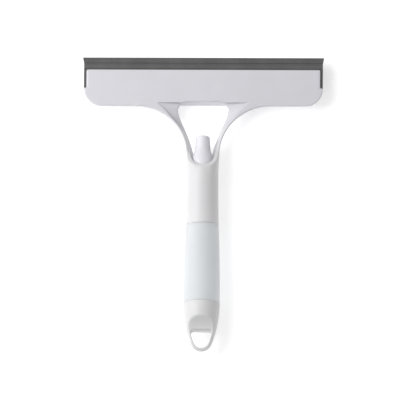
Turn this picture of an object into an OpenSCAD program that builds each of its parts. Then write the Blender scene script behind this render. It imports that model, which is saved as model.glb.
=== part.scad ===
// Window squeegee with a spray bottle in its handle.
//
// The tool lies on its back: +X runs along the blade, +Y from the hanging loop to the blade, +Z up.
// Modules draw it in the tool frame, where Y = 0 is the loop's end and Z = 0 is the handle's axis.
// lay() then sets it down on the floor, with the origin under the middle of the whole tool.

/* [Handle] */
// Length of the end cap, from the loop's end to the bottle
cap_l = 48.4; // [46:0.2:54]
// Length of the bottle that shows between the end cap and the collar
bottle_l = 79.6; // [70:0.2:100]
// Length of the collar, from the bottle to the lip in front of the sprayer
collar_l = 58.6; // [56:0.2:70]
// Largest radius of the handle
grip_r = 18.2; // [17.6:0.1:19]
// Radius of the handle where the bottle meets the collar
joint_r = 16.5; // [16.2:0.1:17.4]
// Radius of the collar at its lip
collar_r = 15.8; // [15.4:0.1:16.2]
// Wall thickness of the collar
collar_wall = 2.5; // [2:0.1:2.6]
// Wall thickness of the bottle
bottle_wall = 1.6; // [1:0.1:2]

/* [Hanging loop] */
// Width of the loop's bar around the hole
loop_bar = 3.1; // [2.4:0.1:4]
// Thickness of the loop at the end of the tool
loop_end_t = 7; // [5:0.5:9]
// Thickness of the loop where the scoops begin
loop_root_t = 13.6; // [11:0.2:16]
// Distance from the loop's end to the top of the hole
hole_top = 20.8; // [18:0.2:22]
// Radius of the scoops that thin the end cap down to the loop
cap_scoop_r = 20; // [18:0.5:21]

/* [Yoke] */
// Length of the yoke, from the collar's lip to the wings' lower edge
yoke_l = 64.3; // [62:0.1:72]
// Half width of the curve outside each arm
arm_curve_x = 50.2; // [46:0.2:54]
// Half length of the curve outside each arm
arm_curve_y = 52.4; // [48:0.2:54]
// Radius of the scoop that drops the arms' front edge from the collar to the plate
front_scoop_r = 50; // [46:0.5:54]
// Depth of the arms, from the plate's front face to their back
arm_depth = 10.2; // [9:0.1:11.5]
// Depth of the pocket in the front of each arm
pocket_depth = 5.7; // [4:0.1:6]
// Half width of the window between the arms, at its widest
window_half_w = 25.3; // [23:0.1:26]
// Radius of the window's upper corners
window_r = 6.5; // [5:0.5:8]

/* [Head] */
// Width of the front plate
plate_w = 237.8; // [220:0.2:260]
// Height of the front plate, from the wings' lower edge to the blade
plate_h = 36.9; // [35:0.1:42]
// Thickness of the front plate
plate_t = 4; // [3:0.1:4.5]
// Radius of the plate's lower corners
plate_corner_r = 17.5; // [14:0.5:18]
// Depth of the whole head, from the plate's face to the back of its cover
head_t = 19.45; // [18.6:0.05:20]
// Distance of the cover's side walls from the plate's sides
cover_inset = 7; // [6:0.2:9]
// Wall thickness of the rear cover
cover_wall = 2; // [1.6:0.1:2.4]
// Number of screws in the rear cover
screw_count = 6; // [4:1:7]

/* [Blade] */
// Width of the blade at its wiping edge
blade_w = 240.5; // [238.6:0.1:242]
// Height of the blade above the plate
blade_out = 13.5; // [12:0.1:15]
// Thickness of the blade's base
blade_base_t = 5.9; // [5:0.1:6.4]
// Thickness of the wiping edge
blade_edge_t = 1.2; // [0.8:0.1:1.6]
// Width of the legs that hook over the plate's ends
leg_w = 2.5; // [2.2:0.1:3]
// Length of the legs beside the plate
leg_l = 18.6; // [14:0.2:18.6]
// Thickness of the tongue that the cover clamps
tongue_t = 2; // [1.6:0.1:2.2]

/* [Sprayer] */
// Radius of the button's top
button_r = 7.05; // [6.8:0.05:7.4]
// Radius of the button's skirt inside the collar
skirt_r = 12; // [11.8:0.1:12.2]
// Height of the button
button_h = 35.5; // [34:0.5:37]
// Height of the button above the collar's lip
button_out = 32.9; // [31:0.1:34]
// Turns in the pump's spring
spring_turns = 7; // [5:1:8]

/* [Hidden] */
$fn = 96;
eps = 0.01;
far = 400;

white = [0.93, 0.93, 0.94];
natural = [0.86, 0.88, 0.9];
frosted = [0.82, 0.86, 0.88];
slate = [0.36, 0.36, 0.37];
steel = [0.7, 0.71, 0.72];
clear_grey = [0.6, 0.64, 0.68];

// Places along the handle
seam_y = cap_l;
joint_y = seam_y + bottle_l;
lip_y = joint_y + collar_l;
wing_y = lip_y + yoke_l;
plate_top_y = wing_y + plate_h;
tool_l = plate_top_y + blade_out;

// Levels of the head, from the plate's face down to the cover's back
face_z = head_t - grip_r;
plate_back_z = face_z - plate_t;
cover_front_z = plate_back_z - tongue_t;
cover_back_z = -grip_r;
arm_back_z = face_z - arm_depth;
pocket_z = face_z - pocket_depth;
blade_z = plate_back_z - tongue_t / 2;

// Places across the head
arm_x = collar_r + 0.4 + arm_curve_x;
arm_y = wing_y - arm_curve_y;
window_top_y = wing_y + 4.3;
pocket_top_y = wing_y + 3.1;
leg_y = plate_top_y - leg_l;
leg_x = plate_w / 2 - leg_w;
cover_half_w = plate_w / 2 - cover_inset;
cover_top_y = plate_top_y - 1;

// Bottle and collar bores
collar_bore_r = collar_r - collar_wall;
spigot_r = collar_bore_r - 0.6;
shoulder_y = joint_y - 0.6;
neck_r = 7.9;
neck_bore_r = 6.4;
neck_top_y = lip_y - 10.3;
socket_r = 16;

// Pump, all on the handle's axis
gasket_t = 1.2;
flange_t = 1.3;
closure_r = 10.2;
closure_bore_r = neck_r + 0.4;
closure_top_y = neck_top_y + gasket_t + flange_t;
bulkhead_y = neck_top_y - 8.3;
bulkhead_t = 3;
cylinder_r = 3.75;
cylinder_wall = 0.85;
cylinder_y = neck_top_y - 19.3;
seat_y = cylinder_y - 3.8;
seat_r = 0.8;
ball_r = 1.4;
ball_y = seat_y + sqrt(ball_r * ball_r - seat_r * seat_r) + 0.03;
stem_r = 1.9;
stem_bore_r = 0.7;
stem_fit = 0.06;
tube_r = 1.6;
tube_bore_r = 1;
piston_y = cylinder_y + 12;
piston_l = 4;
stop_y = piston_y + piston_l + 0.2;
button_top_y = lip_y + button_out;
button_base_y = button_top_y - button_h;
socket_y = button_top_y - 19.5;
insert_y = button_top_y - 6.5;
insert_r = 2.1;

function ease(t) = t * t * (3 - 2 * t);
function lerp(a, b, t) = a + (b - a) * t;
function steps(from, to, n) = [for (i = [0 : n]) lerp(from, to, i / n)];

// Radius of the bottle and of the collar at a place on the handle
grip_y = seam_y + 8.6;
function bottle_radius(y) = grip_r - (grip_r - joint_r) * pow((y - grip_y) / (joint_y - grip_y), 2);
function collar_radius(y) = collar_r + (joint_r - collar_r) * pow((lip_y - y) / collar_l, 2);

module lay() translate([0, -tool_l / 2, grip_r]) children();

// Turns a profile of [radius, place] points about the handle's axis
module turn(profile) rotate([-90, 0, 0]) rotate_extrude() polygon(profile);

// A round hole, rod or ring along the handle's axis
module rod(r, from, to) translate([0, from, 0]) rotate([-90, 0, 0]) cylinder(r = r, h = to - from);
module ring(r, bore, from, to) difference() {
    rod(r, from, to);
    rod(bore, from - eps, to + eps);
}

// Extrudes a profile of [Y, Z] points along X, both ways from the middle
module along_x(width) rotate([90, 0, 90]) linear_extrude(width, center = true) children();

// Extrudes an [X, Y] outline between two heights
module between(low, high) translate([0, 0, low]) linear_extrude(high - low) children();

module both_sides() {
    children();
    mirror([1, 0, 0]) children();
}

/* Head */

screw_y = lerp(wing_y, plate_top_y, 0.47);
screw_span = cover_half_w - 14;
function screw_x(i) = lerp(-screw_span, screw_span, i / (screw_count - 1));
module at_screws() for (i = [0 : screw_count - 1]) translate([screw_x(i), screw_y]) children();

screw_r = 1.5;
screw_head_r = 2.8;
screw_head_t = 1.8;
screw_seat_z = cover_back_z + 3.2;
post_r = 3.8;
boss_r = 3.4;
boss_z = cover_front_z - 3.2;

module plate_outline() {
    translate([-plate_w / 2 + plate_corner_r, wing_y])
        square([plate_w - 2 * plate_corner_r, plate_corner_r]);
    translate([-plate_w / 2, wing_y + plate_corner_r])
        square([plate_w, leg_y - wing_y - plate_corner_r]);
    translate([-leg_x, leg_y - 1]) square([2 * leg_x, plate_h + wing_y - leg_y + 1]);
    intersection() {
        both_sides() translate([plate_w / 2 - plate_corner_r, wing_y + plate_corner_r])
            circle(plate_corner_r);
        translate([-plate_w / 2, wing_y]) square([plate_w, leg_y - wing_y]);
    }
}

module cover_outline(inset = 0) {
    corner = 6 - inset / 2;
    half_w = cover_half_w - inset;
    low = window_top_y + 0.2 + inset;
    high = cover_top_y - inset;
    translate([-half_w + corner, low]) square([2 * (half_w - corner), high - low]);
    translate([-half_w, low + corner]) square([2 * half_w, high - low - 2 * corner]);
    both_sides() for (y = [low + corner, high - corner]) translate([half_w - corner, y])
        circle(corner);
}

// The curve outside each arm is a quarter of an ellipse
module arms_outline() {
    curve = [for (a = steps(90, 0, 30)) [arm_x - arm_curve_x * cos(a), arm_y + arm_curve_y * sin(a)]];
    both_sides() polygon(concat([[0, arm_y]], [[0, window_top_y]], [[arm_x, window_top_y]], curve));
}

window_waist_y = wing_y - 23.5;
window_waist = 0.64 * window_half_w;
window_foot = 0.33 * window_half_w;
module window_outline() {
    module waist() translate([-window_waist, window_waist_y]) square([2 * window_waist, eps]);
    hull() {
        both_sides() translate([window_half_w - window_r, window_top_y - window_r]) circle(window_r);
        waist();
    }
    hull() {
        waist();
        translate([-window_foot, arm_y + 4]) square([2 * window_foot, eps]);
    }
}

// Each pocket lies between a long arc, which leaves the arm's rim standing, and the plate's edge
pocket_r = 96;
pocket_x = pocket_r + collar_bore_r - 1.8;
module pockets_outline() difference() {
    translate([-pocket_x / 2, arm_y + 2]) square([pocket_x, pocket_top_y - arm_y - 2]);
    both_sides() translate([pocket_x, lip_y - 5]) circle(pocket_r);
}

// What the side view cuts away in front of the arms and behind them
// Rounds the arms to the collar where they grow out of it
module arm_roots() {
    root_l = 16;
    top = arm_y + root_l;
    turn([[0, arm_y - 1], [collar_r + 0.5, arm_y - 1], [collar_r + 6.2, top], [0, top]]);
    between(-far, far) translate([-far, top - eps]) square([2 * far, far]);
}
module scoop_profile() {
    reach = front_scoop_r - (collar_r - face_z);
    flat_y = lip_y + sqrt(front_scoop_r * front_scoop_r - reach * reach);
    translate([flat_y, face_z + front_scoop_r]) circle(front_scoop_r);
    translate([flat_y, face_z]) square([far, front_scoop_r]);
}
module back_scoop_profile() {
    back_r = front_scoop_r;
    reach = back_r - (collar_r + arm_back_z);
    flat_y = lip_y + 3.4 + sqrt(back_r * back_r - reach * reach);
    translate([flat_y, arm_back_z - back_r]) circle(back_r);
    translate([flat_y, arm_back_z - back_r]) square([far, back_r]);
}

module collar_tube() {
    tube_top_y = arm_y + 12;
    side = [for (y = steps(joint_y, lip_y, 12)) [collar_radius(y), y]];
    turn(concat([[collar_bore_r, joint_y]], side, [[collar_r, tube_top_y], [collar_bore_r, tube_top_y]]));
}

module head_yoke() color(white) lay() {
    difference() {
        union() {
            between(plate_back_z, face_z) plate_outline();
            intersection() {
                between(-collar_r, collar_r) arms_outline();
                arm_roots();
            }
            collar_tube();
        }
        rod(collar_bore_r, joint_y - 1, window_waist_y + 8);
        between(-far, far) window_outline();
        between(pocket_z, far) pockets_outline();
        along_x(far) scoop_profile();
        along_x(far) back_scoop_profile();
        between(plate_back_z - 1, face_z - 2) at_screws() circle(screw_r);
    }
    ring(collar_bore_r + 0.2, closure_r, bulkhead_y, bulkhead_y + bulkhead_t);
    between(cover_front_z, plate_back_z)
        translate([-screw_span, window_top_y + 0.2]) square([2 * screw_span, cover_wall]);
    between(boss_z, plate_back_z) difference() {
        at_screws() circle(boss_r);
        at_screws() circle(screw_r);
    }
}

module rear_cover() color(white) lay() difference() {
    union() {
        difference() {
            between(cover_back_z, cover_front_z) cover_outline();
            between(cover_back_z + cover_wall, cover_front_z + eps) cover_outline(cover_wall);
        }
        between(cover_back_z, boss_z - 0.1) at_screws() circle(post_r);
    }
    between(cover_back_z - eps, boss_z + eps) at_screws() circle(screw_r + 0.15);
    between(cover_back_z - eps, screw_seat_z) at_screws() circle(screw_head_r + 0.3);
}

module cover_screws() color(steel) lay() difference() {
    union() {
        between(screw_seat_z - screw_head_t, screw_seat_z) at_screws() circle(screw_head_r);
        between(screw_seat_z - eps, face_z - 2.6) at_screws() circle(screw_r);
    }
    slot = [3.2, 0.8];
    between(screw_seat_z - screw_head_t - eps, screw_seat_z - screw_head_t + 0.9) at_screws() {
        square(slot, center = true);
        square([slot.y, slot.x], center = true);
    }
}

// The base carries a bead, a groove and the lip that tapers to the wiping edge
module blade_section() {
    base = blade_base_t / 2;
    edge = blade_edge_t / 2;
    neck = base - 1;
    bead_y = plate_top_y + 5.6;
    lip = [[0, base], [bead_y - plate_top_y, base], [6.1, neck], [7.5, neck], [7.9, neck + 0.3]];
    up = [for (p = lip) [plate_top_y + p.x, p.y]];
    down = [for (i = [len(lip) - 1 : -1 : 0]) [plate_top_y + lip[i].x, -lip[i].y]];
    translate([0, blade_z]) polygon(concat(up, [[tool_l, edge], [tool_l, -edge]], down));
}

module blade() color(slate) lay() {
    root_w = plate_w / 2 + 0.1;
    flare_y = plate_top_y + 8;
    intersection() {
        along_x(far) blade_section();
        between(-far, far) both_sides() polygon([
            [0, plate_top_y], [root_w, plate_top_y], [root_w, flare_y], [blade_w / 2, tool_l], [0, tool_l],
        ]);
    }
    between(blade_z - blade_base_t / 2, blade_z + blade_base_t / 2) both_sides() {
        translate([leg_x, leg_y + leg_w / 2]) square([leg_w, plate_top_y - leg_y - leg_w / 2]);
        translate([leg_x + leg_w / 2, leg_y + leg_w / 2]) circle(leg_w / 2);
    }
    tongue_l = 8.8;
    between(cover_front_z, plate_back_z) {
        translate([-leg_x, plate_top_y - tongue_l]) square([2 * leg_x, tongue_l]);
        both_sides() translate([cover_half_w - cover_wall, leg_y + leg_w])
            square([leg_x - cover_half_w + cover_wall, leg_l - leg_w]);
    }
}

/* Handle */

module bottle() color(frosted) lay() {
    cone_y = joint_y + 22;
    neck_y = cone_y + 9;
    foot_y = seam_y - 10.5;
    foot_r = socket_r - 0.1;
    t = bottle_wall;
    body = [for (y = steps(seam_y, shoulder_y, 16)) [bottle_radius(y), y]];
    inside = [for (y = steps(shoulder_y - t, seam_y + t, 16)) [bottle_radius(y) - t, y]];
    turn(concat(
        [[0, foot_y], [foot_r, foot_y], [foot_r, seam_y]], body,
        [[spigot_r, shoulder_y], [spigot_r, cone_y], [neck_r, neck_y], [neck_r, neck_top_y]],
        [[neck_bore_r, neck_top_y], [neck_bore_r, neck_y - t / 2], [spigot_r - t, cone_y - t / 2]],
        [[spigot_r - t, shoulder_y - t]], inside,
        [[foot_r - t, seam_y + t], [foot_r - t, foot_y + t], [0, foot_y + t]]
    ));
}

// Half of the loop's outline: a long arc down the side, then a round end
side_arc_r = 112;
function end_arc_r() =
    let (x = side_arc_r - cap_r, y = seam_y)
    (side_arc_r * side_arc_r - x * x - y * y) / (2 * (side_arc_r - y));
cap_r = grip_r - 0.05;
function loop_side(inset) =
    let (r = end_arc_r(), x = side_arc_r - cap_r, turn_a = atan2(seam_y - r, x))
    concat(
        [for (a = steps(-90, -turn_a, 10)) [(r - inset) * cos(a), r + (r - inset) * sin(a)]],
        [for (a = steps(turn_a, 0, 14))
            [(side_arc_r - inset) * cos(a) - x, seam_y - (side_arc_r - inset) * sin(a)]]
    );

module loop_hole() intersection() {
    both_sides() polygon(concat(loop_side(loop_bar), [[0, seam_y]]));
    corner = 3;
    hull() {
        both_sides() translate([10 - corner, hole_top - corner]) circle(corner);
        translate([-10, 0]) square([20, 1]);
    }
}

module cap_side_profile() {
    root_y = hole_top - 5.3;
    root = loop_root_t / 2;
    difference() {
        polygon([
            [0, loop_end_t / 2], [root_y, root], [root_y, 2 * grip_r], [seam_y, 2 * grip_r],
            [seam_y, -2 * grip_r], [root_y, -2 * grip_r], [root_y, -root], [0, -loop_end_t / 2],
        ]);
        for (side = [-1, 1]) translate([root_y, side * (root + cap_scoop_r)]) circle(cap_scoop_r);
    }
}

module end_cap() color(white) lay() difference() {
    intersection() {
        turn(concat(loop_side(0), [[0, seam_y]]));
        along_x(far) cap_side_profile();
    }
    between(-far, far) loop_hole();
    rod(socket_r, seam_y - 10.6, seam_y + 1);
}

module bottle_seal() color(slate) lay()
    ring(joint_r - 1, collar_bore_r + 0.2, shoulder_y + 0.05, joint_y - 0.05);

/* Pump */

module pump_closure() color(white) lay() {
    skirt_y = neck_top_y - 12;
    wall_top_y = closure_top_y + 1.7;
    turn([
        [closure_bore_r, skirt_y], [closure_r, skirt_y], [closure_r, bulkhead_y - 1.5],
        [closure_r + 1.4, bulkhead_y - 1.5], [closure_r + 1.4, bulkhead_y], [closure_r, bulkhead_y],
        [closure_r, wall_top_y - 0.8], [closure_r - 0.8, wall_top_y], [6.6, wall_top_y],
        [6.6, closure_top_y], [closure_bore_r, closure_top_y],
    ]);
}

module neck_gasket() color(slate) lay()
    ring(neck_r, cylinder_r + cylinder_wall, neck_top_y, neck_top_y + gasket_t);

module pump_housing() color(natural) lay() {
    outer_r = cylinder_r + cylinder_wall;
    inlet_r = 2.9;
    chamber_r = ball_r + 0.4;
    stub_y = seat_y - 9;
    turn([
        [tube_r, stub_y], [inlet_r, stub_y], [inlet_r, seat_y], [outer_r, cylinder_y],
        [outer_r, closure_top_y - flange_t], [neck_r, closure_top_y - flange_t],
        [neck_r, closure_top_y], [cylinder_r, closure_top_y], [cylinder_r, cylinder_y + 0.2],
        [chamber_r, cylinder_y + 0.2], [chamber_r, seat_y], [seat_r, seat_y],
        [seat_r, seat_y - 1], [tube_r, seat_y - 1],
    ]);
}

module closing_ring() color(white) lay() {
    tower_r = 5.6;
    turn([
        [stem_r + stem_fit, stop_y], [cylinder_r, stop_y], [cylinder_r, closure_top_y],
        [6.5, closure_top_y], [6.5, closure_top_y + 2], [tower_r, closure_top_y + 2.4],
        [tower_r, closure_top_y + 7], [stem_r + stem_fit, closure_top_y + 7],
    ]);
}

module dip_tube() color(clear_grey) lay() ring(tube_r, tube_bore_r, seam_y - 3, seat_y - 1);

module check_ball() color(steel) lay() translate([0, ball_y, 0]) sphere(ball_r);

// Each point of the wire's centre line carries a small ring of corners
module pump_spring() color(steel) lay() {
    wire_r = 0.3;
    coil_r = cylinder_r - 0.85;
    sides = 6;
    per_turn = 18;
    low = cylinder_y + 0.3 + wire_r;
    high = piston_y - 0.5 - wire_r;
    count = per_turn * spring_turns;
    rings = [for (i = [0 : count], k = [0 : sides - 1])
        let (turn_a = 360 * i / per_turn, wire_a = 360 * k / sides, r = coil_r + wire_r * cos(wire_a))
        [r * cos(turn_a), lerp(low, high, i / count) + wire_r * sin(wire_a), r * sin(turn_a)]];
    walls = [for (i = [0 : count - 1], k = [0 : sides - 1])
        let (a = i * sides + k, b = i * sides + (k + 1) % sides)
        [a, a + sides, b + sides, b]];
    first = [for (k = [0 : sides - 1]) k];
    last = [for (k = [sides - 1 : -1 : 0]) count * sides + k];
    polyhedron(rings, concat(walls, [first, last]));
}

module piston() color(natural) lay() difference() {
    turn([
        [stem_r, piston_y], [cylinder_r - 0.05, piston_y], [cylinder_r - 0.05, piston_y + 1],
        [cylinder_r - 0.7, piston_y + 1.5], [cylinder_r - 0.7, piston_y + piston_l - 1.5],
        [cylinder_r - 0.05, piston_y + piston_l - 1], [cylinder_r - 0.05, piston_y + piston_l],
        [stem_r, piston_y + piston_l],
    ]);
}

module valve_rod() color(natural) lay() {
    turn([
        [0, piston_y - 6], [1.3, piston_y - 6], [1.3, piston_y - 0.5], [3.3, piston_y - 0.5],
        [3.3, piston_y], [0, piston_y],
    ]);
}

module pump_stem() color(natural) lay() ring(stem_r, stem_bore_r, piston_y, socket_y + 8);

// The button is a bell: a narrow crown, then a skirt that flares out inside the collar
function button_side(inset) =
    let (top = button_top_y, crown_l = 11, round_r = 2.2, wide = button_r + 0.6, flare_l = 18.6)
    concat(
        [for (a = steps(90, 0, 6))
            [button_r - round_r + round_r * cos(a) - inset, top - round_r + round_r * sin(a)]],
        [for (t = steps(0, 1, 16))
            [lerp(wide, skirt_r, ease(t)) - inset, top - crown_l - flare_l * t]],
        [[skirt_r - inset, button_base_y]]
    );

module spray_actuator() color(white) lay() {
    shell = 1.3;
    roof_y = insert_y - 3.2;
    difference() {
        turn(concat([[0, button_top_y]], button_side(0), [[0, button_base_y]]));
        intersection() {
            turn(concat([[0, button_top_y]], button_side(shell), [[0, button_base_y]]));
            rod(skirt_r, button_base_y - 1, roof_y);
        }
        rod(stem_r, socket_y - 1, socket_y + 8);
        rod(stem_bore_r, socket_y, insert_y + stem_bore_r);
        translate([0, insert_y, -button_r - 1]) cylinder(r = insert_r, h = button_r - 2.2);
        translate([0, insert_y, -button_r]) cylinder(r = stem_bore_r, h = button_r);
    }
    ring(3.4, stem_r, socket_y, roof_y + eps);
}

module nozzle_insert() color(natural) lay() difference() {
    translate([0, insert_y, -button_r + 0.1]) cylinder(r = insert_r, h = button_r - 3.3);
    translate([0, insert_y, -button_r]) cylinder(r = 0.3, h = button_r);
    translate([0, insert_y, -button_r + 1]) cylinder(r = 0.9, h = button_r);
}

head_yoke();
rear_cover();
cover_screws();
blade();
bottle();
end_cap();
bottle_seal();
pump_closure();
neck_gasket();
pump_housing();
closing_ring();
dip_tube();
pump_spring();
check_ball();
spray_actuator();
nozzle_insert();
pump_stem();
piston();
valve_rod();
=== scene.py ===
"""Looks of the spray squeegee: detailed shells in the CAD frame, their materials, light and camera.

Shapes are worked out in millimetres in the tool frame: X runs along the blade, Y along the handle's
axis from the loop's end to the blade, and Z = 0 is that axis. place() takes a point of the row frame
to it, and mesh_object() takes points back.
"""

import math

import bpy
import numpy as np
from mathutils import Matrix, Vector


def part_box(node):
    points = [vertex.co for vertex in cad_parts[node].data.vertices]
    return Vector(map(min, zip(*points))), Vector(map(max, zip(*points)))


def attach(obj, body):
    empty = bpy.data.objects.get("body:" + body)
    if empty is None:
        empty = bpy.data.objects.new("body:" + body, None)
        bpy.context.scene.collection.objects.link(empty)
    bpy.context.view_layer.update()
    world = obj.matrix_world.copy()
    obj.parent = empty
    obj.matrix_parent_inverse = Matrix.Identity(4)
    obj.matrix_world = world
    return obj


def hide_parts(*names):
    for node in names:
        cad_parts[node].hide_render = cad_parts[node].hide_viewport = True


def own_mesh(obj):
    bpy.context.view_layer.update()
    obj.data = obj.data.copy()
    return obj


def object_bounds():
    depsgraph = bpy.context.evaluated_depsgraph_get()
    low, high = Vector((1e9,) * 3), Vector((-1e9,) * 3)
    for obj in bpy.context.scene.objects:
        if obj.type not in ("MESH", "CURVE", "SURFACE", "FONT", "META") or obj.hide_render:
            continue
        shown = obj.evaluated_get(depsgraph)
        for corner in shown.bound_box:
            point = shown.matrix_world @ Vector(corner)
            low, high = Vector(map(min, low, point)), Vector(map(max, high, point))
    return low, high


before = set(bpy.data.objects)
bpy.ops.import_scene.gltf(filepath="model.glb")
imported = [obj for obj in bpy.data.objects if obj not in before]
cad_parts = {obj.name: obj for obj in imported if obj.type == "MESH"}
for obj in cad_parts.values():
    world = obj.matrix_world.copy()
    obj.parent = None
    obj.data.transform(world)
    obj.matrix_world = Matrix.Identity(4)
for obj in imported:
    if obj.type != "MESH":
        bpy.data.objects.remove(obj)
cad_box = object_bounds()

MM = 0.001

# ---------------------------------------------------------------- places, read from the frame

tool_low = cad_box[0]
bottle_low, bottle_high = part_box("bottle")
ORIGIN = np.array([0.0, tool_low.y, (bottle_low.z + bottle_high.z) / 2])


def place(point):
    """A point of the row frame, in tool millimetres."""
    return (np.array(point) - ORIGIN) / MM


yoke_low, yoke_high = (place(p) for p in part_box("head_yoke"))
cover_low, cover_high = (place(p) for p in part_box("rear_cover"))
blade_low, blade_high = (place(p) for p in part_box("blade"))
button_low, button_high = (place(p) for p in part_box("spray_actuator"))
cap_low, cap_high = (place(p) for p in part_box("end_cap"))
screw_low, screw_high = (place(p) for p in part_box("cover_screws"))

TOOL_L = blade_high[1]

# The handle: the bottle starts at the seam with the cap, is widest a little above it, and meets the
# collar at the joint. The collar ends at its lip, in front of the button.
GRIP_R = place(bottle_high)[2]
SEAM_Y = cap_high[1]
JOINT_Y = yoke_low[1]
JOINT_R = 16.5
COLLAR_R = 15.8
COLLAR_BORE_R = 13.3
LIP_Y = JOINT_Y + 57.6
NECK_TOP = JOINT_Y + 48.3
WIDEST_Y = SEAM_Y + 8.6

# The plate, its bevelled rim and the blade's legs beside it
PLATE_TOP = yoke_high[1]
PLATE_H = 36.9
PLATE_W = 2 * yoke_high[0]
PLATE_T = 4.0
COVER_GAP = 2.0
FACE_Z = cover_high[2] + COVER_GAP + PLATE_T
WING_Y = PLATE_TOP - PLATE_H
WING_R = 17.5
BEVEL_W = 1.7
BEVEL_DROP = 0.4
LEG_W = 2.5
LEG_Y = blade_low[1]
BLADE_Z = (blade_low[2] + blade_high[2]) / 2

# The arms: the curve outside each is a quarter of an ellipse about (ARM_X, ARM_Y)
CURVE_X = 50.2
CURVE_Y = 52.4
CURVE_R = 51.0
ARM_X = COLLAR_R + 0.4 + CURVE_X
ARM_Y = WING_Y - CURVE_Y
ARM_BACK_Z = FACE_Z - 10.2
SCOOP_R = 50.0

# The window between the arms, narrowest at its waist, and the pocket dished into their front
WINDOW_W = 25.3
WINDOW_TOP = WING_Y + 4.3
WAIST_Y = WING_Y - 23.5
WAIST_W = 0.64 * WINDOW_W
POCKET_R = 96.0
POCKET_TOP = WING_Y + 3.1
RIM_W = 2.0
# The pocket's least and greatest depth, and the power that its walls curve by
DISH_LOW, DISH_HIGH = 3.8, 11.0
DISH_CURVE = 2.2
# Below RISE_Y the arms' front rises from the plate's face, and beyond RISE_X so does their back
RISE_Y = WAIST_Y - 1.4
RISE_X = 38.0

# The screws that hold the cover
SCREW_COUNT = 6
SCREW_SPAN = screw_high[0] - 2.8
SCREW_Y = (screw_low[1] + screw_high[1]) / 2


def bottle_radius(y):
    """The bottle's outside, a flat parabola about its widest place."""
    return GRIP_R - (GRIP_R - JOINT_R) * ((y - WIDEST_Y) / (JOINT_Y - WIDEST_Y)) ** 2


def collar_radius(y):
    """The collar's outside, from the lip's radius to the joint's."""
    return COLLAR_R + (JOINT_R - COLLAR_R) * np.clip((LIP_Y - y) / (LIP_Y - JOINT_Y), 0, 1) ** 2


# ---------------------------------------------------------------- distance fields

def meet(a, b, r):
    """Where both solids are, with the edge between them rounded to radius r."""
    return np.minimum(-r, np.maximum(a, b)) + np.hypot(np.maximum(a + r, 0), np.maximum(b + r, 0))


def join(a, b, r):
    """Where either solid is, with a fillet of radius r between them."""
    return -meet(-a, -b, r)


def cut(a, b, r):
    """Solid a without solid b."""
    return meet(a, -b, r)


def slab(v, low, high):
    """Between two parallel planes."""
    return np.abs(v - (low + high) / 2) - (high - low) / 2


def surface(name, field, low, high, cell):
    """A closed mesh of the field's zero surface, by surface nets with each point moved onto it."""
    axes = [np.arange(a - 1.5 * cell, b + 2.5 * cell, cell) for a, b in zip(low, high)]
    x, y, z = np.meshgrid(*axes, indexing="ij", sparse=True)
    value = np.broadcast_to(field(x, y, z), [len(a) for a in axes])
    value = np.ascontiguousarray(value).astype(np.float32)
    inside = value < 0
    nx, ny, nz = value.shape
    corner = [(i, j, k) for i in (0, 1) for j in (0, 1) for k in (0, 1)]

    def shifted(a, c):
        return a[c[0]:nx - 1 + c[0], c[1]:ny - 1 + c[1], c[2]:nz - 1 + c[2]]

    count = sum(shifted(inside, c).astype(np.int8) for c in corner)
    active = (count > 0) & (count < 8)
    ids = np.full(active.shape, -1, np.int64)
    ids[active] = np.arange(int(active.sum()))
    at = np.argwhere(active)
    total = np.zeros((len(at), 3))
    crossings = np.zeros(len(at))
    for a in corner:
        for axis in range(3):
            if a[axis]:
                continue
            b = tuple(a[i] + (i == axis) for i in range(3))
            va = shifted(value, a)[active].astype(float)
            vb = shifted(value, b)[active].astype(float)
            crosses = (va < 0) != (vb < 0)
            t = np.where(crosses, va / np.where(crosses, va - vb, 1), 0)
            spot = np.array(a, float) + t[:, None] * (np.arange(3) == axis)
            total += spot * crosses[:, None]
            crossings += crosses
    start = np.array([a[0] for a in axes])
    points = start + cell * (at + total / crossings[:, None])

    def slope(p, step=0.02):
        steps = step * np.eye(3)
        return np.stack([(field(*(p + s).T) - field(*(p - s).T)) / (2 * step) for s in steps], 1)

    for _ in range(4):
        g = slope(points)
        move = -field(*points.T)[:, None] * g / np.maximum((g * g).sum(1), 1e-6)[:, None]
        points += np.clip(move, -cell / 2, cell / 2)
    normals = slope(points)
    normals /= np.maximum(np.linalg.norm(normals, axis=1), 1e-9)[:, None]

    quads = []
    for axis in range(3):
        u, v = (axis + 1) % 3, (axis + 2) % 3
        here = [slice(1, n - 1) for n in value.shape]
        here[axis] = slice(0, value.shape[axis] - 1)
        there = list(here)
        there[axis] = slice(1, value.shape[axis])
        a, b = inside[tuple(here)], inside[tuple(there)]
        edge = np.argwhere(a != b)
        leaves = a[tuple(edge.T)]
        base = edge + np.array([0 if i == axis else 1 for i in range(3)])
        ring = []
        for du, dv in ((0, 0), (1, 0), (1, 1), (0, 1)):
            c = base.copy()
            c[:, u] -= du
            c[:, v] -= dv
            ring.append(ids[tuple(c.T)])
        quad = np.stack(ring, 1)
        quad[~leaves] = quad[~leaves][:, ::-1]
        quads.append(quad)
    return mesh_object(name, points, np.concatenate(quads).tolist(), normals)


def mesh_object(name, points, faces, normals=None):
    """An object of tool-frame points in millimetres, shaded smooth."""
    mesh = bpy.data.meshes.new(name)
    in_row = np.asarray(points, float) * MM + ORIGIN
    mesh.from_pydata(in_row.tolist(), [], faces)
    mesh.shade_smooth()
    if normals is not None:
        mesh.normals_split_custom_set_from_vertices(normals.tolist())
    thing = bpy.data.objects.new(name, mesh)
    bpy.context.scene.collection.objects.link(thing)
    return thing


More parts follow.
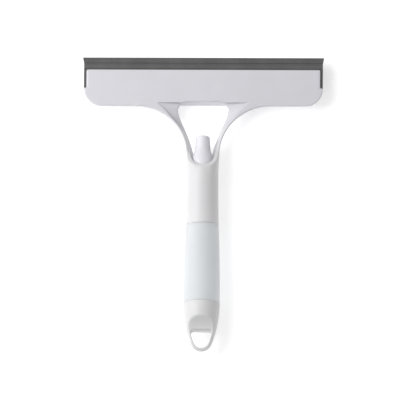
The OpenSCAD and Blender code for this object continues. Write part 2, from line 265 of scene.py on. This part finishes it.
def lathe(name, profile):
    """Turns a closed profile of (radius, y) points about the handle's axis."""
    sides = 160
    profile = np.array(profile, float)
    n = len(profile)
    angle = np.arange(sides) * 2 * math.pi / sides
    points = np.stack([
        np.outer(np.cos(angle), profile[:, 0]),
        np.tile(profile[:, 1], (sides, 1)),
        np.outer(np.sin(angle), profile[:, 0]),
    ], 2).reshape(-1, 3)
    i, k = np.meshgrid(np.arange(sides), np.arange(n), indexing="ij")
    nxt, up = (i + 1) % sides, (k + 1) % n
    faces = np.stack([i * n + k, i * n + up, nxt * n + up, nxt * n + k], 2).reshape(-1, 4)
    thing = mesh_object(name, points, faces.tolist())
    bpy.context.view_layer.objects.active = thing
    for other in bpy.context.selected_objects:
        other.select_set(False)
    thing.select_set(True)
    bpy.ops.object.mode_set(mode="EDIT")
    bpy.ops.mesh.select_all(action="SELECT")
    bpy.ops.mesh.remove_doubles(threshold=0.01 * MM)
    bpy.ops.mesh.normals_make_consistent(inside=False)
    bpy.ops.object.mode_set(mode="OBJECT")
    bpy.ops.object.shade_auto_smooth(angle=math.radians(40))
    return thing


# ---------------------------------------------------------------- the yoke

def screw_distance(x, y):
    """Distance to the nearest screw's axis."""
    pitch = 2 * SCREW_SPAN / (SCREW_COUNT - 1)
    nearest = np.clip(np.round((x + SCREW_SPAN) / pitch), 0, SCREW_COUNT - 1) * pitch - SCREW_SPAN
    return np.hypot(x - nearest, y - SCREW_Y)


def outside_arms(x, y):
    """Below 0 between the outer curves of the arms, which start as nearly straight roots."""
    u = np.maximum(ARM_X - np.abs(x), 0) / CURVE_X
    v = np.maximum(y - ARM_Y, 0) / CURVE_Y
    root = (np.abs(x) - COLLAR_R + 0.25 - 0.06 * (y - LIP_Y)) * 0.98
    curve = join((1 - np.hypot(u, v)) * CURVE_R, np.maximum(root, y - ARM_Y - 30), 0.5)
    return np.maximum(curve, np.abs(x) - ARM_X)


def plate_outline(x, y):
    """The plate from the front, narrower beside the blade's legs."""
    side = np.abs(x) - PLATE_W / 2
    outline = meet(side, WING_Y - y, WING_R)
    outline = meet(outline, y - PLATE_TOP, 0.4)
    rebate = meet(side + LEG_W, y - PLATE_TOP, 1.4)
    beside_legs = np.maximum(rebate, LEG_Y - 3 - y)
    below_legs = np.maximum(outline, y - LEG_Y + 0.1)
    return np.minimum(beside_legs, below_legs)


def window(x, y):
    """The see-through gap between the arms: it widens from its waist, faster above than below."""
    low_side = np.abs(x) - WAIST_W + 0.315 * (WAIST_Y - y)
    high_side = np.abs(x) - WAIST_W - 0.6 * (y - WAIST_Y)
    side = join(low_side * 0.95, high_side * 0.86, 4)
    side = meet(side, np.abs(x) - WINDOW_W, 5)
    return meet(side, y - WINDOW_TOP, 9.5)


def pocket(x, y):
    """Between the rims of the dished arms: two long arcs inside the arms' outer curves."""
    centre_x = POCKET_R + COLLAR_BORE_R - 1.8
    arcs = POCKET_R - np.hypot(np.abs(x) - centre_x, y - (LIP_Y - 5))
    wider = np.clip((y - WING_Y + 14) / 10, 0, 1)
    return np.maximum(arcs, outside_arms(x, y) + RIM_W + wider)


def scoop(y, z, level, side, start):
    """Below 0 behind the scooped front (side 1) or before the scooped back (side -1) of the arms."""
    drop = SCOOP_R - (COLLAR_R - side * level)
    flat_y = start + math.sqrt(SCOOP_R ** 2 - drop ** 2)
    curved = SCOOP_R - np.hypot(y - flat_y, side * z - (side * level + SCOOP_R))
    return np.where(y < flat_y, curved, side * (z - level))


def plate_field(x, y, z):
    """The front plate, with its rim bevelled at the sides and the top."""
    plate = meet(plate_outline(x, y), slab(z, FACE_Z - PLATE_T, FACE_Z), 0.9)
    side = np.abs(x) - PLATE_W / 2 + np.where(y > LEG_Y, LEG_W, 0)
    bevel = np.clip(1 + np.maximum(side, y - PLATE_TOP) / BEVEL_W, 0, 1)
    return np.maximum(plate, z - FACE_Z + BEVEL_DROP * bevel)


def arms_field(x, y, z):
    """Both arms: round at the collar, and shallower towards the wings."""
    arms = meet(outside_arms(x, y), slab(z, -COLLAR_R, COLLAR_R), COLLAR_R - 0.8)
    sunk = np.clip((LIP_Y + 8 - y) / 9, 0, 2)
    arms = meet(arms, slab(y, LIP_Y - 12, WINDOW_TOP), 0.3) + sunk
    outward = np.clip((np.abs(x) - RISE_X) / (ARM_X - RISE_X - 4), 0, 1)
    back = ARM_BACK_Z + 6.6 * outward ** 1.5
    return np.maximum(arms, np.where(y > ARM_Y + 10, back - z, -9))


def dish_field(x, y, z):
    """The hollow in the arms' front: the pocket's outline, narrowing to the window's at its floor."""
    front = np.clip(FACE_Z + 15 * np.clip((RISE_Y - y) / 40, 0, 1) ** 2, FACE_Z, 16)
    depth = np.clip(DISH_LOW + (WINDOW_TOP - 6 - y) * 0.19, DISH_LOW, DISH_HIGH)
    t = np.clip((front - z) / depth, 0, 1)
    mouth = pocket(x, y)
    narrowing = np.maximum(window(x, y) - mouth, 0)
    slope = DISH_CURVE * narrowing * t ** (DISH_CURVE - 1) / depth
    dish = (mouth + narrowing * t ** DISH_CURVE) / np.hypot(1, slope)
    return meet(meet(dish, y - POCKET_TOP, 0.8), ARM_Y + 1 - y, 4)


def inner_field(x, y, z):
    """The pump's bulkhead in the collar, and the rail and screw bosses behind the plate."""
    bulkhead = np.maximum(np.maximum(np.hypot(x, z) - COLLAR_BORE_R - 0.5, 10.2 - np.hypot(x, z)),
                          slab(y, NECK_TOP - 8.3, NECK_TOP - 5.3))
    boss = np.maximum(screw_distance(x, y) - 3.4, slab(z, cover_high[2] - 3.2, FACE_Z - PLATE_T))
    rail = np.maximum(slab(z, cover_high[2], FACE_Z - PLATE_T + 1.0),
                      np.maximum(slab(y, WINDOW_TOP, WINDOW_TOP + 2.2), np.abs(x) - SCREW_SPAN))
    return bulkhead, np.minimum(boss, rail)


def yoke_field(x, y, z):
    """The whole moulding: collar, arms and plate, scooped, dished and pierced."""
    radius = np.hypot(x, z)
    tube = meet(radius - collar_radius(y), slab(y, JOINT_Y, ARM_Y + 12), 0.25)
    solid = join(arms_field(x, y, z), tube, 0.6)
    solid = meet(solid, scoop(y, z, FACE_Z, 1, LIP_Y), 1.0)
    solid = meet(solid, scoop(y, z, ARM_BACK_Z, -1, LIP_Y + 3.4), 0.9)
    solid = join(solid, plate_field(x, y, z), 0.6)
    solid = cut(solid, dish_field(x, y, z), 0.7)
    solid = cut(solid, np.maximum(window(x, y), ARM_Y - y), 1.0)
    solid = cut(solid, np.maximum(radius - COLLAR_BORE_R, y - (ARM_Y + 30)), 0.6)
    bulkhead, clamp = inner_field(x, y, z)
    solid = join(np.minimum(solid, bulkhead), clamp, 0.8)
    return cut(solid, np.maximum(screw_distance(x, y) - 1.5, z - FACE_Z + 2), 0.1)


# ---------------------------------------------------------------- the rest of the head

def rounded_box(x, y, half_w, low, high, r):
    """A rectangle with rounded corners, from the front."""
    return meet(np.abs(x) - half_w, slab(y, low, high), r)


def cover_field(x, y, z):
    """An open tray with a screw post under each boss, and two finger grooves along its back."""
    low, high, half_w, wall = cover_low[1], cover_high[1], cover_high[0], 2
    back, rim = cover_low[2], cover_high[2]
    solid = meet(rounded_box(x, y, half_w, low, high, 6), back - z, 1.6)
    solid = meet(solid, z - rim, 0.3)
    inside = rounded_box(x, y, half_w - wall, low + wall, high - wall, 4)
    solid = cut(solid, np.maximum(inside, back + wall - z), 0.3)
    from_screw = screw_distance(x, y)
    post = np.maximum(from_screw - 3.8, z - rim + 3.3)
    solid = np.minimum(solid, np.maximum(post, back - z))
    solid = cut(solid, from_screw - 1.65, 0.2)
    solid = cut(solid, np.maximum(from_screw - 3.1, z - back - 3.2), 0.3)
    groove = np.maximum(np.abs(np.abs(y - SCREW_Y) - 9) - 0.7, np.abs(x) - half_w + 14)
    return cut(solid, np.maximum(groove, z - back - 0.7), 0.3)


def blade_field(x, y, z):
    """The strip with its foot, bead and tapered lip, its two legs, and the clamped tongue."""
    up = y - PLATE_TOP
    off = np.abs(z - BLADE_Z)
    half_w = PLATE_W / 2 + 0.1
    lip_y, bead_t = 7.6, 2.95
    core = np.maximum(off - 1.45, slab(up, 0, 9))
    foot = meet(off - 2.3, slab(up, 0, 2.2), 0.3)
    bead = meet(off - bead_t, slab(up, 1.5, 5.5), 0.7)
    taper = off - np.interp(up, [lip_y, 12.2, 13.5], [2.3, 1.05, 0.55])
    lip = meet(taper, slab(up, lip_y, TOOL_L - PLATE_TOP), 0.25)
    section = join(join(core, join(foot, bead, 0.2), 0.4), lip, 0.5)
    flare = half_w + (blade_high[0] - half_w) * np.clip((up - 7.2) / 6, 0, 1)
    strip = meet(section, np.abs(x) - flare, 0.4)
    across = np.abs(np.abs(x) - half_w + LEG_W / 2)
    leg = np.hypot(across, np.maximum(LEG_Y + LEG_W / 2 - y, 0)) - LEG_W / 2
    leg = meet(np.maximum(leg, up - 1), off - bead_t, 0.5)
    tongue = np.maximum(np.maximum(off - 1, np.abs(x) - PLATE_W / 2 + LEG_W), up)
    tongue = np.maximum(tongue, np.minimum(-8.8 - up, cover_high[0] - 2 - np.abs(x)))
    tongue = np.maximum(tongue, LEG_Y + LEG_W - y)
    return np.minimum(join(strip, leg, 0.3), tongue)


# ---------------------------------------------------------------- the handle

# The cap's outline is a long arc down each side, parallel to the axis at the seam, and a round end
# that meets both. The loop is thin, and a scoop on each face leads up from its root to the seam.
CAP_R = GRIP_R - 0.05
SIDE_R = 112.0
SIDE_X = SIDE_R - CAP_R
END_R = (SIDE_R ** 2 - SIDE_X ** 2 - SEAM_Y ** 2) / (2 * (SIDE_R - SEAM_Y))
HOLE_TOP = 20.8
LOOP_BAR = 3.1
LOOP_HALF_T = 3.5
ROOT_HALF_T = 6.8
CAP_SCOOP_R = 20


def cap_outline(across, y):
    """The long side arcs and the round end of the loop."""
    lean = math.atan2(SEAM_Y - END_R, SIDE_X)
    side = np.hypot(across + SIDE_X, y - SEAM_Y) - SIDE_R
    end = np.hypot(across, y - END_R) - END_R
    past_side = -across * math.sin(lean) - (y - END_R) * math.cos(lean)
    return np.where(past_side > 0, end, side)


def cap_field(x, y, z):
    """The cap, scooped thin from both sides, with the loop's hole and the bottle's socket."""
    radius = np.hypot(x, z)
    body = cap_outline(radius, y)
    root_y = HOLE_TOP - 5.3
    half_t = LOOP_HALF_T + (ROOT_HALF_T - LOOP_HALF_T) * np.clip(y / root_y, 0, 1)
    thin = (np.abs(z) - half_t) * 0.98
    scooped = CAP_SCOOP_R - np.hypot(y - root_y, np.abs(z) - ROOT_HALF_T - CAP_SCOOP_R)
    solid = meet(body, np.where(y < root_y, thin, scooped), 1.0)
    hole = meet(cap_outline(np.abs(x), y) + LOOP_BAR, y - HOLE_TOP, 4.5)
    solid = cut(solid, hole, 0.9)
    solid = meet(solid, y - SEAM_Y, 0.2)
    return cut(solid, np.maximum(radius - 16, SEAM_Y - 10.6 - y), 0.3)


def make_bottle():
    """The bottle's wall: its foot in the cap, its grip, its spigot in the collar, and its neck."""
    wall = 1.6
    shoulder = JOINT_Y - 0.6
    spigot_r = COLLAR_BORE_R - 0.6
    foot, foot_r = SEAM_Y - 10.5, 15.9
    cone = JOINT_Y + 22
    neck_r, mouth_r = 7.9, 6.4
    side = [(bottle_radius(y), y) for y in np.linspace(SEAM_Y + 0.15, JOINT_Y - 0.25, 48)]
    inner = [(bottle_radius(y) - wall, y) for y in np.linspace(shoulder - 2.4, SEAM_Y + 2.4, 48)]
    profile = [(0.01, foot), (foot_r - 0.9, foot), (foot_r, foot + 0.8), (foot_r, SEAM_Y)]
    profile += [(side[0][0] - 0.15, SEAM_Y)] + side
    profile += [(side[-1][0] - 0.2, JOINT_Y - 0.1), (spigot_r, JOINT_Y - 0.1), (spigot_r, cone - 2)]
    profile += [(spigot_r - 0.6, cone), (neck_r, cone + 9), (neck_r, NECK_TOP), (mouth_r, NECK_TOP)]
    profile += [(mouth_r, cone + 8.2), (spigot_r - 2, cone - 0.8), (spigot_r - wall, shoulder - 1.8)]
    profile += inner + [(foot_r - wall, SEAM_Y + 1.2), (foot_r - wall, foot + 2.4)]
    profile += [(foot_r - wall - 0.8, foot + wall), (0.01, foot + wall)]
    return lathe("tank_bottle", profile)


BUTTON_TOP = button_high[1]
BUTTON_R = 7.05
CROWN_L = 11.0
CROWN_FLARE = 0.6
BELL_L = 18.6
SKIRT_R = button_high[0]
INSERT_Y = BUTTON_TOP - 6.5


def button_radius(y):
    """A slightly flared crown, then an S-curve out to the skirt."""
    down = BUTTON_TOP - y
    crown = BUTTON_R + CROWN_FLARE * np.clip(down / CROWN_L, 0, 1)
    t = np.clip((down - CROWN_L) / BELL_L, 0, 1)
    return crown + (SKIRT_R - BUTTON_R - CROWN_FLARE) * t * t * (3 - 2 * t)


def button_field(x, y, z):
    """The hollow button: a finger dish on top, a post for the stem, and the insert's bore."""
    radius = np.hypot(x, z)
    wall = (radius - button_radius(y)) * 0.94
    dish_r = 28
    dish = np.hypot(radius, y - BUTTON_TOP - dish_r + 0.5) - dish_r
    solid = cut(meet(wall, y - BUTTON_TOP, 2.2), dish, 0.6)
    solid = meet(solid, button_low[1] - y, 0.4)
    roof = INSERT_Y - 3.2
    post = np.maximum(radius - 3.4, BUTTON_TOP - 19.5 - y)
    hollow = np.maximum(np.maximum(wall + 1.25, y - roof), -post)
    solid = cut(solid, hollow, 0.3)
    solid = cut(solid, np.maximum(radius - 1.9, y - (BUTTON_TOP - 11.5)), 0.1)
    bore = np.maximum(np.hypot(x, y - INSERT_Y) - 2.1, z + 3.2)
    return cut(solid, bore, 0.25)


SPRING_TURNS = 7
WIRE_R = 0.3
spring_low, spring_high = (place(p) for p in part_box("pump_spring"))


def make_spring():
    """The coil, with a closed flat turn at each end."""
    sides = 12
    turns = SPRING_TURNS + 2
    coil_r = spring_high[0] - WIRE_R
    at = np.linspace(0, 1, 24 * turns + 1)
    rise = np.clip((at * turns - 0.8) / (SPRING_TURNS + 0.4), 0, 1)
    room = spring_high[1] - spring_low[1] - 4 * WIRE_R
    centre_y = spring_low[1] + WIRE_R + rise * room
    centre_y += WIRE_R * np.clip(at * turns, 0, 1) + WIRE_R * np.clip((at - 1) * turns + 1, 0, 1)
    a = at[:, None] * 2 * math.pi * turns
    b = np.arange(sides)[None, :] * 2 * math.pi / sides
    r = coil_r + WIRE_R * np.cos(b)
    points = np.stack([r * np.cos(a), centre_y[:, None] + WIRE_R * np.sin(b), r * np.sin(a)], 2)
    faces = []
    for first in range(0, (len(at) - 1) * sides, sides):
        for k in range(sides):
            p, q = first + k, first + (k + 1) % sides
            faces.append([p, p + sides, q + sides, q])
    last = (len(at) - 1) * sides
    faces += [list(range(sides)), [last + k for k in reversed(range(sides))]]
    thing = mesh_object("coil_spring", points.reshape(-1, 3), faces)
    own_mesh(thing)
    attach(thing, "head")
    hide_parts("pump_spring")
    return thing


def make_shells():
    """Each detailed piece with the CAD node it stands for, its body and its material slot."""
    half_t = JOINT_R + 0.1
    pieces = [
        (surface("head_shell", yoke_field, [yoke_low[0], JOINT_Y, -half_t],
                 [yoke_high[0], PLATE_TOP, half_t], 0.68), "head_yoke", "head", "white_shell"),
        (surface("back_cover", cover_field, cover_low, cover_high, 0.8),
         "rear_cover", "head", "white_cover"),
        (surface("silicone_blade", blade_field, blade_low, blade_high, 0.45),
         "blade", "head", "blade_silicone"),
        (surface("hang_cap", cap_field, cap_low, cap_high, 0.5), "end_cap", "tank", "white_cap"),
        (make_bottle(), "bottle", "tank", "frosted_bottle"),
        (surface("spray_button", button_field, button_low, button_high, 0.4),
         "spray_actuator", "button", "button_white"),
    ]
    for piece, node, body, slot in pieces:
        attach(piece, body)
        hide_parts(node)
    return {slot: piece for piece, node, body, slot in pieces}


shells = make_shells()
spring = make_spring()

# ---------------------------------------------------------------- materials


class Shader:
    """A material's node tree, built from short calls."""

    def __init__(self, name):
        self.material = bpy.data.materials.new(name)
        self.material.use_nodes = True
        self.tree = self.material.node_tree
        self.tree.nodes.clear()
        self.surface = self.add("ShaderNodeBsdfPrincipled")
        self.link(self.surface.outputs[0], self.add("ShaderNodeOutputMaterial").inputs["Surface"])
        self.where = self.add("ShaderNodeTexCoord").outputs["Object"]

    def add(self, kind, **inputs):
        """A new node, with its named inputs set or linked."""
        node = self.tree.nodes.new(kind)
        for key, value in inputs.items():
            self.feed(node.inputs[key.replace("_", " ")], value)
        return node

    def feed(self, socket, value):
        if isinstance(value, bpy.types.NodeSocket):
            self.link(value, socket)
        else:
            socket.default_value = value

    def link(self, source, target):
        self.tree.links.new(source, target)

    def stretched(self, scale):
        """The object's coordinates, scaled differently along each axis."""
        node = self.add("ShaderNodeMapping", Vector=self.where)
        node.inputs["Scale"].default_value = scale
        return node.outputs["Vector"]

    def noise(self, scale, detail=3.0, where=None):
        node = self.add("ShaderNodeTexNoise", Scale=scale, Detail=detail)
        self.link(where or self.where, node.inputs["Vector"])
        return node.outputs["Fac"]

    def ramp(self, value, low, high, to_low=0.0, to_high=1.0):
        """A smooth step from to_low to to_high, as value goes from low to high."""
        node = self.add("ShaderNodeMapRange")
        node.interpolation_type = "SMOOTHSTEP"
        for key, number in zip(("Value", "From Min", "From Max", "To Min", "To Max"),
                               (value, low, high, to_low, to_high)):
            self.feed(node.inputs[key], number)
        return node.outputs["Result"]

    def math(self, how, a, b):
        node = self.add("ShaderNodeMath")
        node.operation = how
        self.feed(node.inputs[0], a)
        self.feed(node.inputs[1], b)
        return node.outputs[0]

    def blend(self, amount, a, b):
        """Colour a, turning to b as amount goes from 0 to 1."""
        node = self.add("ShaderNodeMix")
        node.data_type = "RGBA"
        self.feed(node.inputs["Factor"], amount)
        for socket, value in zip((s for s in node.inputs if s.type == "RGBA"), (a, b)):
            self.feed(socket, value)
        return next(s for s in node.outputs if s.type == "RGBA")

    def edges(self):
        """High on sharp outer edges."""
        return self.ramp(self.add("ShaderNodeNewGeometry").outputs["Pointiness"], 0.52, 0.6)

    def bump(self, *layers):
        """Layers of (height, distance in metres), each on top of the one before."""
        normal = None
        for height, distance in layers:
            node = self.add("ShaderNodeBump", Height=height, Distance=distance, Strength=1.0)
            if normal is not None:
                self.link(normal, node.inputs["Normal"])
            normal = node.outputs["Normal"]
        self.link(normal, self.surface.inputs["Normal"])

    def set(self, **inputs):
        """Sets or links the surface's own sockets."""
        for key, value in inputs.items():
            self.feed(self.surface.inputs[key.replace("_", " ")], value)


def grey(value, tint=0.0):
    return (value, value, value + tint, 1)


def moulded_plastic(name, color, rough=0.36, grain=0.5, softness=0.06, handle=None):
    """White moulded plastic: a fine grain, faint flow clouding, rubbed edges and wipe marks.

    handle, if given, is the colour that the piece turns to along the handle, away from the plate:
    partly a real neutral tint and partly painted light, lighter than the plate's colour to stand in for
    brighter light on the handle."""
    s = Shader(name)
    # Painted light: towards the handle the colour turns lighter than the plate's, partly a real tint
    # and partly painted light
    if handle:
        along = s.add("ShaderNodeSeparateXYZ", Vector=s.where).outputs["Y"]
        color = s.blend(s.ramp(along, YOKE_Y, PLATE_Y), handle, color)
    clouds = s.ramp(s.noise(28, 2), 0.3, 0.7)
    base = s.blend(s.math("MULTIPLY", clouds, 0.035), color, grey(0))
    worn = s.math("MULTIPLY", s.edges(), s.ramp(s.noise(160, 4), 0.4, 0.65))
    base = s.blend(s.math("MULTIPLY", worn, 0.35), base, grey(0.97))
    specks = s.ramp(s.noise(900, 2), 0.74, 0.78)
    base = s.blend(s.math("MULTIPLY", specks, 0.12), base, (0.45, 0.43, 0.4, 1))
    wipes = s.noise(60, 5, s.stretched((1, 14, 14)))
    fine = s.noise(420, 3)
    wiped = s.ramp(wipes, 0.35, 0.7, rough - 0.05, rough + 0.07)
    roughness = s.math("ADD", wiped, s.math("MULTIPLY", fine, 0.05))
    s.set(Base_Color=base, Roughness=roughness, IOR=1.49)
    s.set(Subsurface_Weight=softness, Subsurface_Scale=0.002)
    s.surface.inputs["Subsurface Radius"].default_value = (1, 0.95, 0.9)
    s.bump((s.noise(34, 1), 0.00018), (s.noise(1500, 2), 0.00001 * grain))
    return s.material


def silicone(name, value):
    """Matte silicone: a faint bloom of dust, drawing lines along the blade and soft handling marks."""
    s = Shader(name)
    bloom = s.ramp(s.noise(55, 5), 0.35, 0.75)
    base = s.blend(bloom, grey(value), grey(value * 1.22, 0.002))
    dust = s.math("MULTIPLY", s.ramp(s.noise(1300, 2), 0.68, 0.76), 0.25)
    base = s.blend(dust, base, grey(value * 2.4))
    base = s.blend(s.math("MULTIPLY", s.edges(), 0.3), base, grey(value * 1.7))
    lines = s.noise(90, 3, s.stretched((0.6, 30, 30)))
    s.set(Base_Color=base, Roughness=s.ramp(bloom, 0, 1, 0.5, 0.62), IOR=1.41)
    s.set(Sheen_Weight=0.12, Sheen_Roughness=0.4)
    s.bump((lines, 0.00003), (s.noise(1800, 2), 0.00001))
    return s.material


def frosted_plastic(name, color, clear, rough, milky=0.2, painted_glow=0.0):
    """Translucent plastic with a frosted skin.

    clear is the share of light let through, milky the share scattered inside, and painted_glow a little
    painted light of its own, standing in for what a filled wall would pass on from behind."""
    s = Shader(name)
    clouds = s.ramp(s.noise(24, 3), 0.3, 0.75)
    base = s.blend(clouds, color, tuple(c * 0.95 for c in color[:3]) + (1,))
    frost = s.noise(700, 3)
    s.set(Base_Color=base, Roughness=s.ramp(frost, 0.3, 0.7, rough - 0.06, rough + 0.08), IOR=1.46)
    s.set(Transmission_Weight=clear, Subsurface_Weight=milky, Subsurface_Scale=0.012)
    s.surface.inputs["Subsurface Radius"].default_value = (1, 1, 1)
    # Painted light: a faint glow in the wall's own colour, standing in for light passed through from
    # behind
    s.set(Emission_Color=color, Emission_Strength=painted_glow)
    rings = s.noise(70, 2, s.stretched((0.3, 8, 0.3)))
    s.bump((rings, 0.00006), (frost, 0.00001))
    return s.material


def metal(name, value, rough, lines):
    """Bare steel with drawn or turned lines; lines is their fineness along each axis."""
    s = Shader(name)
    stain = s.ramp(s.noise(240, 4), 0.35, 0.75)
    base = s.blend(stain, grey(value), grey(value * 0.82, 0.01))
    s.set(Base_Color=base, Metallic=1.0, Roughness=s.ramp(stain, 0, 1, rough, rough + 0.15))
    s.bump((s.noise(900, 2, s.stretched(lines)), 0.000008))
    return s.material


def paint(thing, material):
    """Gives the object this one material."""
    thing.data.materials.clear()
    thing.data.materials.append(material)


WHITE = (0.665, 0.66, 0.7, 1)
# The yoke's handle white is a real neutral tint, made lighter than WHITE as painted light
YOKE_TINT_AND_PAINTED_LIGHT = (0.706, 0.704, 0.714, 1)
CAP_WHITE = (0.71, 0.71, 0.715, 1)
BUTTON_WHITE = (0.8, 0.795, 0.835, 1)
FROSTED = (0.84, 0.862, 0.882, 1)
# The stretch of Y, in metres of the row frame, over which the yoke's lighter tint, partly painted
# light, turns to the plate's
YOKE_Y, PLATE_Y = 0.05, 0.095

outer_looks = {
    # The shell turns lighter along the handle: partly a real tint, partly painted light
    "white_shell": moulded_plastic("shell_plastic", WHITE, rough=0.42, handle=YOKE_TINT_AND_PAINTED_LIGHT),
    "white_cover": moulded_plastic("cover_plastic", WHITE, rough=0.45, grain=1.4),
    "white_cap": moulded_plastic("cap_plastic", CAP_WHITE, rough=0.42),
    "button_white": moulded_plastic("button_plastic", BUTTON_WHITE, rough=0.42, softness=0.5),
    # The bottle's glow is painted light, a little light of its own
    "frosted_bottle": frosted_plastic(
        "bottle_plastic", FROSTED, clear=0.2, rough=0.6, milky=0.6, painted_glow=0.07),
    "blade_silicone": silicone("blade_silicone", 0.095),
}
for slot, material in outer_looks.items():
    paint(shells[slot], material)

pump_white = moulded_plastic("pump_plastic", (0.7, 0.7, 0.71, 1), rough=0.3)
natural = frosted_plastic("natural_plastic", (0.78, 0.8, 0.82, 1), clear=0.2, rough=0.4)
tube = frosted_plastic("tube_plastic", (0.8, 0.84, 0.87, 1), clear=0.6, rough=0.25)
seal = silicone("seal_silicone", 0.35)
ball_metal = metal("ball_metal", 0.7, 0.12, (1, 1, 1))
zinc = metal("zinc_plate", 0.6, 0.28, (3, 3, 1))
inner_looks = {
    "pump_closure": pump_white, "closing_ring": pump_white, "pump_housing": natural,
    "nozzle_insert": natural, "pump_stem": natural, "piston": natural, "valve_rod": natural,
    "dip_tube": tube, "bottle_seal": seal, "neck_gasket": seal,
    "check_ball": ball_metal, "cover_screws": zinc,
}
for node, material in inner_looks.items():
    paint(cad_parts[node], material)
paint(spring, metal("spring_wire", 0.62, 0.22, (1, 1, 1)))

# ---------------------------------------------------------------- floor

FLOOR_HALF_W = 4
corners = [(FLOOR_HALF_W * u, FLOOR_HALF_W * v, 0) for u, v in ((-1, -1), (1, -1), (1, 1), (-1, 1))]
floor = bpy.data.objects.new("floor", bpy.data.meshes.new("floor"))
floor.data.from_pydata(corners, [], [(0, 1, 2, 3)])
bpy.context.scene.collection.objects.link(floor)
floor_look = Shader("pale_floor")
floor_look.set(Base_Color=grey(0.95), Roughness=0.9)
floor_look.set(Emission_Color=grey(1.0), Emission_Strength=0.38)
paint(floor, floor_look.material)

# ---------------------------------------------------------------- camera

# Sines of the camera's lean towards the loop's end and to the right, and its roll in radians
TILT_Y = -0.242
TILT_X = 0.019
ROLL = -0.0036
# Width of the view at the tool, the camera's distance, and the view's offset from the middle, in metres
VIEW_W = 0.397
FAR = 9.0
AIM_Y = 0.0037
AIM_LEFT = 0.0023
SENSOR_MM = 36

toward = Vector((TILT_X, TILT_Y, math.sqrt(1 - TILT_X ** 2 - TILT_Y ** 2)))
up = Vector((0, toward.z, -toward.y)).normalized()
up = (up + ROLL * up.cross(toward)).normalized()
right = up.cross(toward)
aim = Vector((0, AIM_Y, ORIGIN[2])) - AIM_LEFT * right
camera_data = bpy.data.cameras.new("camera")
camera_data.clip_end = 2 * FAR
camera_data.sensor_width = SENSOR_MM
camera_data.lens = SENSOR_MM * FAR / VIEW_W
camera = bpy.data.objects.new("camera", camera_data)
turned = Matrix((right, up, toward)).transposed().to_4x4()
camera.matrix_world = Matrix.Translation(aim + FAR * toward) @ turned
bpy.context.scene.collection.objects.link(camera)
bpy.context.scene.camera = camera

# ---------------------------------------------------------------- light

world = bpy.data.worlds.new("studio")
world.use_nodes = True
background = world.node_tree.nodes["Background"]
background.inputs["Color"].default_value = grey(1)
background.inputs["Strength"].default_value = 0.43
bpy.context.scene.world = world
bpy.context.scene.view_settings.view_transform = "Standard"


def area_light(name, place_at, size, power):
    """A round soft light that points at the tool."""
    data = bpy.data.lights.new(name, "AREA")
    data.shape = "DISK"
    data.size = size
    data.energy = power
    lamp = bpy.data.objects.new(name, data)
    lamp.location = place_at
    lamp.rotation_euler = (-Vector(place_at)).to_track_quat("-Z", "Y").to_euler()
    bpy.context.scene.collection.objects.link(lamp)


area_light("key", (-0.88, 0.22, 0.95), 1.2, 13.5)
area_light("top_fill", (0.0, -0.2, 1.6), 1.6, 2.2)
